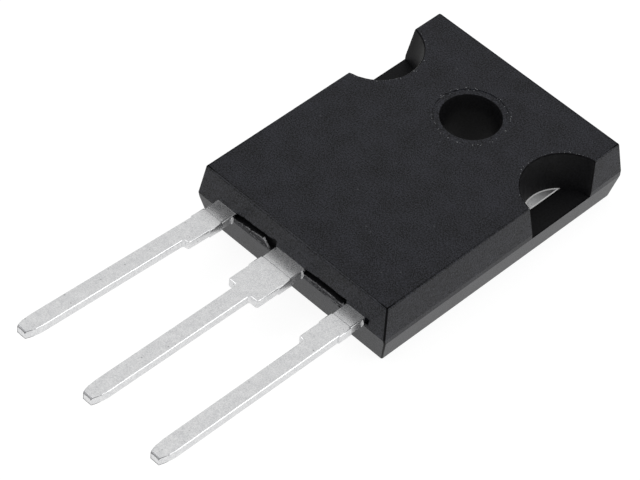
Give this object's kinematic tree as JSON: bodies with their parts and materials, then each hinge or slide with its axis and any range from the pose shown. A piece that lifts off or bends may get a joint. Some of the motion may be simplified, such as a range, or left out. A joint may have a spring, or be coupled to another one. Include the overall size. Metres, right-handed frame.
{
  "type": "power transistor",
  "caption": "Flat through-hole power transistor: black moulded body on a bare metal heat sink, with a mounting hole, side notches and straight leads.",
  "frame": {"origin": "on the axis of the mounting hole, in the plane of the back", "axes": "+Z out of the front face, the leads run towards -Y, +X across the leads from the gate's side to the source's side"},
  "size_m": [0.0156, 0.0362, 0.0047],
  "materials": {
    "epoxy": "matte, finely textured",
    "tinned_copper": "matte tin plating on copper",
    "solder": "dull",
    "silicon": "metallised silicon",
    "wire": "drawn"
  },
  "bodies": {
    "root": {"mould_body": "epoxy", "heat_sink_frame": "tinned_copper", "gate_lead": "tinned_copper", "source_lead": "tinned_copper", "die_solder": "solder", "silicon_die": "silicon", "gate_wire": "wire", "source_wire_1": "wire", "source_wire_2": "wire", "source_wire_3": "wire"}
  },
  "joints": []
}
